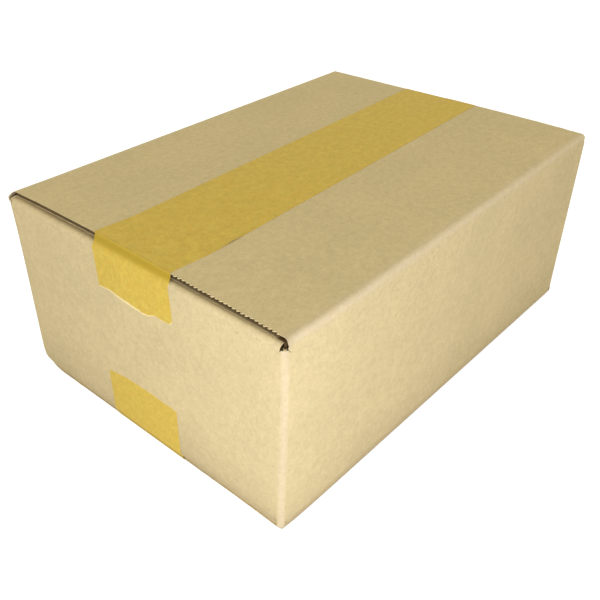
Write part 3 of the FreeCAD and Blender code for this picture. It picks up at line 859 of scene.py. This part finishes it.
def tape_strip(name, label):
    """A closed strip of tape in place on the box."""
    spec, tear = TAPES[label], TEARS[label]
    rise = spec["rise"]
    level = TOP if rise > 0 else SOLE
    shares, width = ACROSS_TAPE, len(ACROSS_TAPE)
    bed_front, hanging = tape_bed(rise, spec["hang_front"])
    bed_back, _ = tape_bed(rise, spec["hang_back"])
    line = np.r_[bed_front[::-1] * (-1, 1), bed_back[1:]]
    around = np.gradient(line, axis=0)
    around /= np.linalg.norm(around, axis=1)[:, None]
    normals = np.c_[-around[:, 1], around[:, 0]] * rise
    rows = len(line)
    rough = np.interp(-shares, [-s for s, _ in tear], [v for _, v in tear])
    window = np.hanning(9) / np.hanning(9).sum()
    fuzz = np.convolve(rng.normal(0, 1, width + 8), window, "valid")
    rough = rough + fuzz * TORN_SOFT + rng.normal(0, TORN_FINE, width)
    grid = np.zeros((2, rows, width, 3))
    masks = {key: np.zeros(grid.shape[:3]) for key in ("torn", "gap", "bend", "wrinkle")}
    for k in range(rows):
        x, z = line[k]
        slide = np.zeros(width)
        if k < hanging:
            slide = -rise * rough * smooth_step((hanging - k) / hanging)
        below = np.clip(abs(level - z) / spec["hang_front"], 0, 1) ** STRAY_EARLY * (x < 0)
        t = np.clip((x + HALF_LENGTH) / (2 * HALF_LENGTH), 0, 1)
        centre = spec["front"] + (spec["back"] - spec["front"]) * t
        centre -= SWAYS[label] * (1 - t) * smooth_step(t / SWAY_GROWS)
        for layer, off in ((0, STUCK), (1, TAPE_THICK)):
            grid[layer, k, :, 0] = x + normals[k, 0] * off
            grid[layer, k, :, 1] = centre + spec["stray"] * below + shares * TAPE_WIDTH
            grid[layer, k, :, 2] = z + normals[k, 1] * off + slide
        drop = abs(level - z) / (BOARD + FLAP_GAP)
        # Painted shade where the tape bridges the gap between the flap's cut end and the wall's fold.
        if abs(x) > FLAP_END - 0.5:
            masks["gap"][:, k] = smooth_step(min((drop + 0.2) / 0.5, (1.3 - drop) / 0.7))
        masks["bend"][:, k] = 0.5 * hump(drop - CREASE, 0.2)
    # The first three rows make the torn rim, whose paper is thin.
    least, most = RIMS[label]
    rim = least + (most - least) * hump(shares - 0.1, 0.25) + np.abs(fuzz) * least * 0.8
    ends = grid[:, 0, :, 2]
    for k, out in ((1, rim * 0.7), (2, rim)):
        grid[:, k, :, 2] = ends + rise * out
    for k, thinner in enumerate(THINNED):
        grid[1, k, :, 0] += thinner
    masks["torn"][:, 0], masks["torn"][:, 1] = 1.0, 0.85
    flat = grid.reshape(-1, 3)
    if rise < 0:
        lower = smooth_step((SOLE + NEAR_FLAP - flat[:, 2]) / EASE)
        flat[:, 0] += front_trim(flat[:, 0], flat[:, 1], 1, -1) * lower
    else:
        follow_flaps(flat)
        from_edge = (np.tile(shares, 2 * rows) + 0.5) * TAPE_WIDTH
        way = np.repeat(np.tile(normals, (2, 1)), width, axis=0)
        x, z, length, height, inwards = LIFTED
        away = np.hypot(flat[:, 0] - x, flat[:, 2] - z)
        off = height * hump(away, length) * smooth_step(1 - from_edge / inwards)
        flat[:, [0, 2]] += off[:, None] * way
        y, z, reach = WRINKLED
        away = np.hypot(flat[:, 1] - y, flat[:, 2] - z)
        masks["wrinkle"] = hump(away, reach) * (flat[:, 0] < -FLAP_END)
    flat = settle(flat)

    def at(layer, k, j):
        """The number of a point of the strip."""
        return (layer * rows + k) * width + j

    faces = []
    for k in range(rows - 1):
        for j in range(width - 1):
            ring = [at(1, k, j), at(1, k, j + 1), at(1, k + 1, j + 1), at(1, k + 1, j)]
            faces.append(ring)
            faces.append([index - rows * width for index in ring[::-1]])
    edge = [(k, 0) for k in range(rows)] + [(rows - 1, j) for j in range(1, width)]
    edge += [(k, width - 1) for k in range(rows - 2, -1, -1)]
    edge += [(0, j) for j in range(width - 2, 0, -1)]
    for (k0, j0), (k1, j1) in zip(edge, edge[1:] + edge[:1]):
        faces.append([at(1, k0, j0), at(1, k1, j1), at(0, k1, j1), at(0, k0, j0)])
    if rise < 0:
        faces = [face[::-1] for face in faces]
    strip = new_piece(name, flat, faces, {key: value.ravel() for key, value in masks.items()})
    strip.data.materials.append(tape_finish)
    return strip


top_strip = tape_strip("top_strip", "top")
bottom_strip = tape_strip("bottom_strip", "bottom")
print("tape:", len(top_strip.data.polygons), "and", len(bottom_strip.data.polygons), "faces")

# %% [markdown]
# ## Kraft paper, as shader groups
# Board and tape are both paper, so both share two effects, each built once as a node group. One is the
# fibre: soft clouds, a fine mottle and a few dark specks, as colour and as height. The other is wear:
# where a sheet is folded or rubbed its surface turns paler, and on the board's folds that paleness also
# stands in for a painted highlight. The groups give only colours, masks and heights. Each material puts
# them to use with its own Principled BSDF.

# %% The fibre group
fibre, given, result = new_tree(
    "paper_fibre", "ShaderNodeTree",
    [("Vector", "Vector", None), ("Colour", "Color", (0.6, 0.45, 0.25, 1)),
     ("Second colour", "Color", (0.6, 0.45, 0.25, 1)), ("Clouds", "Float", 0.5),
     ("Cloud size", "Float", 0.03), ("Grain", "Float", 0.4), ("Grain size", "Float", 0.0011),
     ("Specks", "Float", 0.5), ("Speck spacing", "Float", 0.005)],
    [("Colour", "Color", None), ("Height", "Float", None)])


def paper_noise(tree, vector, size, detail=2.0, rough=0.5):
    """Noise about size metres across, from 0 to 1."""
    scaled = reckon(tree, "DIVIDE", 1.0, size)
    return place(tree, "ShaderNodeTexNoise", {"Vector": vector, "Scale": scaled, "Detail": detail,
                                              "Roughness": rough}).outputs[0]


def around_one(tree, value, strength):
    """Turns noise into a factor a little above or below one."""
    swing = reckon(tree, "MULTIPLY", reckon(tree, "SUBTRACT", value, 0.5), strength)
    return reckon(tree, "ADD", 1.0, swing)


clouds = paper_noise(fibre, given["Vector"], given["Cloud size"], 3.0)
clouds = place(fibre, "ShaderNodeMapRange", {0: clouds, 1: 0.35, 2: 0.65}).outputs[0]
clouds = reckon(fibre, "MULTIPLY", clouds, given["Clouds"])
tinted = blend(fibre, clouds, given["Colour"], given["Second colour"])
fine = paper_noise(fibre, given["Vector"], given["Grain size"], 4.0, 0.6)
coarse_size = reckon(fibre, "MULTIPLY", given["Grain size"], 2.7)
coarse = paper_noise(fibre, given["Vector"], coarse_size, 2.0)
grains = reckon(fibre, "ADD", reckon(fibre, "MULTIPLY", fine, 0.6),
                reckon(fibre, "MULTIPLY", coarse, 0.4))
per_metre = reckon(fibre, "DIVIDE", 1.0, given["Speck spacing"])
cells = place(fibre, "ShaderNodeTexVoronoi",
              {"Vector": given["Vector"], "Scale": per_metre}).outputs
chance = place(fibre, "ShaderNodeSeparateXYZ", {0: cells["Color"]}).outputs[0]
extra = reckon(fibre, "MULTIPLY", reckon(fibre, "POWER", chance, 4.0), 0.05)
radius = reckon(fibre, "ADD", 0.015, extra)
from_middle = reckon(fibre, "DIVIDE", cells["Distance"], radius)
speck = place(fibre, "ShaderNodeMapRange", {0: from_middle, 1: 1.2, 2: 0.6}).outputs[0]
unspecked = reckon(fibre, "SUBTRACT", 1.0, reckon(fibre, "MULTIPLY", speck, given["Specks"]))
factor = reckon(fibre, "MULTIPLY", around_one(fibre, grains, given["Grain"]), unspecked)
toned = place(fibre, "ShaderNodeVectorMath", {0: tinted}, operation="SCALE")
fibre.links.new(factor, toned.inputs["Scale"])
fibre.links.new(toned.outputs[0], result.inputs["Colour"])
fibre.links.new(grains, result.inputs["Height"])

# %% The wear group
wear, given, result = new_tree(
    "fold_wear", "ShaderNodeTree",
    [("Vector", "Vector", None), ("Colour", "Color", (0.6, 0.45, 0.25, 1)), ("Mask", "Float", 0.0),
     ("Worn colour", "Color", (0.8, 0.65, 0.45, 1)), ("Strength", "Float", 0.5),
     ("Patch size", "Float", 0.004)],
    [("Colour", "Color", None), ("Mask", "Float", None)])
patches = paper_noise(wear, given["Vector"], given["Patch size"], 3.0, 0.6)
patches = place(wear, "ShaderNodeMapRange", {0: patches, 1: 0.3, 2: 0.6, 3: 0.55, 4: 1.0}).outputs[0]
broken = reckon(wear, "MULTIPLY", given["Mask"], patches)
amount = reckon(wear, "MULTIPLY", broken, given["Strength"])
mixed = blend(wear, amount, given["Colour"], given["Worn colour"])
wear.links.new(mixed, result.inputs["Colour"])
wear.links.new(amount, result.inputs["Mask"])
print("groups", fibre.name, wear.name)

# %% [markdown]
# ## Kraft board
# The liner is a matt, warm grey-brown paper. Folding stretches it and makes it paler, and the paler folds
# also carry a painted highlight. Inside a cut, the fluting is darker and gets little light, so that
# darkness is partly the fluting's colour and partly painted shade. The same dark mask also holds painted
# shade at the walls' foot and beside the long flaps' ends. The mesh carries both as masks. The board's
# flutes also print through the liner as a very faint washboard, 6.4 mm from crest to crest, which runs up
# the walls and on across the flaps.

# %% Helpers for both materials
def srgb(*levels):
    """A colour as a screen shows it, three levels of 0 to 255, for a node's colour input."""
    shares = [level / 255 for level in levels]
    return (*[v / 12.92 if v <= 0.04 else ((v + 0.055) / 1.055) ** 2.4 for v in shares], 1.0)


def start_material(material):
    """A material with only its output and a Principled BSDF, and the object's coordinates."""
    material.use_nodes = True
    tree = material.node_tree
    tree.nodes.clear()
    output = place(tree, "ShaderNodeOutputMaterial")
    surface = place(tree, "ShaderNodeBsdfPrincipled")
    tree.links.new(surface.outputs[0], output.inputs["Surface"])
    return tree, surface, place(tree, "ShaderNodeTexCoord").outputs["Object"]


def group(tree, shared, inputs):
    """A shared node group placed in a material."""
    return place(tree, "ShaderNodeGroup", inputs, node_tree=shared).outputs


def mask(tree, name):
    """One of the mesh's masks."""
    return place(tree, "ShaderNodeAttribute", attribute_name=name).outputs["Fac"]


def end_material(tree, surface, colour, height, roughness, sheen):
    """Gives the Principled BSDF its colour, its small bumps in metres and its sheen."""
    bumps = place(tree, "ShaderNodeBump", {"Height": height, "Distance": 1.0, "Strength": 1.0})
    tree.links.new(colour, surface.inputs["Base Color"])
    tree.links.new(bumps.outputs[0], surface.inputs["Normal"])
    surface.inputs["Roughness"].default_value = roughness
    surface.inputs["Specular IOR Level"].default_value = sheen


print("white is", srgb(255, 255, 255))

# %% The board's material
KRAFT = srgb(207, 186, 139)
KRAFT_GREY = srgb(198, 180, 134)
KRAFT_WORN_AND_LIT = srgb(216, 200, 184)
# the fluting's dark colour, also the colour of all painted shade on the board
KRAFT_FLUTING_AND_SHADE = srgb(92, 68, 36)
FLUTE_PITCH = 6.4 * MM
FLUTE_PRINT = 0.004 * MM  # how high the washboard is
KRAFT_GRAIN = 0.2 * MM

tree, surface, spot_on = start_material(board_finish)
paper = group(tree, fibre, {"Vector": spot_on, "Colour": KRAFT, "Second colour": KRAFT_GREY,
                            "Grain": 0.6})
# pales the folds: rubbed liner, partly a painted highlight
worn = group(tree, wear, {"Vector": spot_on, "Colour": paper["Colour"],
                          "Mask": mask(tree, "bend"), "Worn colour": KRAFT_WORN_AND_LIT, "Strength": 0.5})
# mixes in the fluting's darker colour and the painted shade by the darkness mask
inside = blend(tree, mask(tree, "fluting_and_shade"), worn["Colour"], KRAFT_FLUTING_AND_SHADE)
across = place(tree, "ShaderNodeSeparateXYZ", {0: spot_on}).outputs
wave = reckon(tree, "SINE", reckon(tree, "MULTIPLY", across[0], 2 * math.pi / FLUTE_PITCH))
height = reckon(tree, "ADD", reckon(tree, "MULTIPLY", paper["Height"], KRAFT_GRAIN),
                reckon(tree, "MULTIPLY", wave, FLUTE_PRINT))
end_material(tree, surface, inside, height, roughness=0.82, sheen=0.25)
print("board nodes", len(tree.nodes))

# %% [markdown]
# ## Paper tape
# The tape is a smoother, yellower paper. Where it bridges the gap under its fold it is painted darker, as
# painted shade for the dark gap that shows through the thin paper. Where it is torn, its pale core shows.
# Those two places are masks on its mesh too.

# %% The tape's material
TAPE = srgb(205, 176, 72)
TAPE_AMBER = srgb(204, 166, 62)
TAPE_WORN = srgb(232, 200, 110)
TAPE_CORE = srgb(238, 217, 158)
TAPE_SHADED = srgb(174, 144, 36)
TAPE_GRAIN = 0.12 * MM
WRINKLE_HEIGHT = 0.9 * MM

tree, surface, spot_on = start_material(tape_finish)
paper = group(tree, fibre, {"Vector": spot_on, "Colour": TAPE, "Second colour": TAPE_AMBER,
                            "Clouds": 0.6, "Cloud size": 0.003, "Grain": 0.7,
                            "Grain size": 0.0013, "Specks": 0.0})
shaded = blend(tree, mask(tree, "gap"), paper["Colour"], TAPE_SHADED)
worn = group(tree, wear, {"Vector": spot_on, "Colour": shaded, "Mask": mask(tree, "bend"),
                          "Worn colour": TAPE_WORN, "Strength": 0.1})
torn = blend(tree, mask(tree, "torn"), worn["Colour"], TAPE_CORE)
slanted = place(tree, "ShaderNodeMapping", {"Vector": spot_on, "Rotation": (0.9, 0.0, 0.0),
                                            "Scale": (1, 1, 0.25)}).outputs[0]
creases = paper_noise(tree, slanted, 0.0016, 1.0)
wrinkle = reckon(tree, "MULTIPLY", creases, mask(tree, "wrinkle"))
height = reckon(tree, "ADD", reckon(tree, "MULTIPLY", paper["Height"], TAPE_GRAIN),
                reckon(tree, "MULTIPLY", wrinkle, WRINKLE_HEIGHT))
end_material(tree, surface, torn, height, roughness=0.62, sheen=0.3)
print("tape nodes", len(tree.nodes))

# %% [markdown]
# ## Which piece stands for which part
# Every piece rides on the box's one body. Each replaces the plain solid of the same thing.

# %% Riding and replacing
for piece, node, finish in ((carton, "carton", "board"), (top_strip, "top_tape", "tape"),
                            (bottom_strip, "bottom_tape", "tape")):
    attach(piece, "root")
    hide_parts(node)
print("pieces", [piece.name for piece in (carton, top_strip, bottom_strip)])

# %% [markdown]
# ## Floor, light and background
# The photograph is of a box on pure white, lit softly from the near corner. The floor is pale and
# takes a shadow. What the camera sees directly is made white by a Light Path node, in the floor
# and in the world, so the lamps can stay at a plain level.

# %% The floor
FLOOR_GLOW = 0.74  # with the light that falls on it, this makes the floor white to the camera


def seen_directly(tree):
    """1 for a ray from the camera, off a gloss or through glass, and 0 for one that lights."""
    seen = place(tree, "ShaderNodeLightPath").outputs
    direct = reckon(tree, "MAXIMUM", seen["Is Camera Ray"], seen["Is Glossy Ray"])
    return reckon(tree, "MAXIMUM", direct, seen["Is Transmission Ray"])


floor_mesh = bpy.data.meshes.new("floor")
floor_mesh.from_pydata([(-6, -6, 0), (6, -6, 0), (6, 6, 0), (-6, 6, 0)], [], [(0, 1, 2, 3)])
floor = bpy.data.objects.new("floor", floor_mesh)
bpy.context.scene.collection.objects.link(floor)
floor_finish = bpy.data.materials.new("pale_floor")
floor_finish.use_nodes = True
tree = floor_finish.node_tree
surface = tree.nodes["Principled BSDF"]
surface.inputs["Base Color"].default_value = (0.55, 0.55, 0.55, 1)
surface.inputs["Roughness"].default_value = 1.0
surface.inputs["Emission Color"].default_value = (1, 1, 1, 1)
glow = reckon(tree, "MULTIPLY", seen_directly(tree), FLOOR_GLOW)
tree.links.new(glow, surface.inputs["Emission Strength"])
floor_mesh.materials.append(floor_finish)
print("floor", floor.name)

# %% The world and the lamp
AMBIENT = (0.78, 0.765, 0.66, 1)
world = bpy.data.worlds.new("pale_world")
bpy.context.scene.world = world
world.use_nodes = True
tree = world.node_tree
sky = blend(tree, seen_directly(tree), AMBIENT, (1, 1, 1, 1))
tree.links.new(sky, tree.nodes["Background"].inputs["Color"])


def lamp(name, place_at, aim, size, power, colour):
    """A square area lamp that faces a point."""
    light = bpy.data.objects.new(name, bpy.data.lights.new(name, "AREA"))
    light.data.size = size
    light.data.energy = power
    light.data.color = colour
    light.location = place_at
    light.rotation_euler = (Vector(aim) - Vector(place_at)).to_track_quat("-Z", "Y").to_euler()
    bpy.context.scene.collection.objects.link(light)


lamp("near_window", (-0.39, -0.35, 0.11), (-0.12, -0.08, 0.06), 0.3, 1.97, (0.95, 1.0, 1.2))
bpy.context.scene.view_settings.view_transform = "Standard"
print("lamps set")
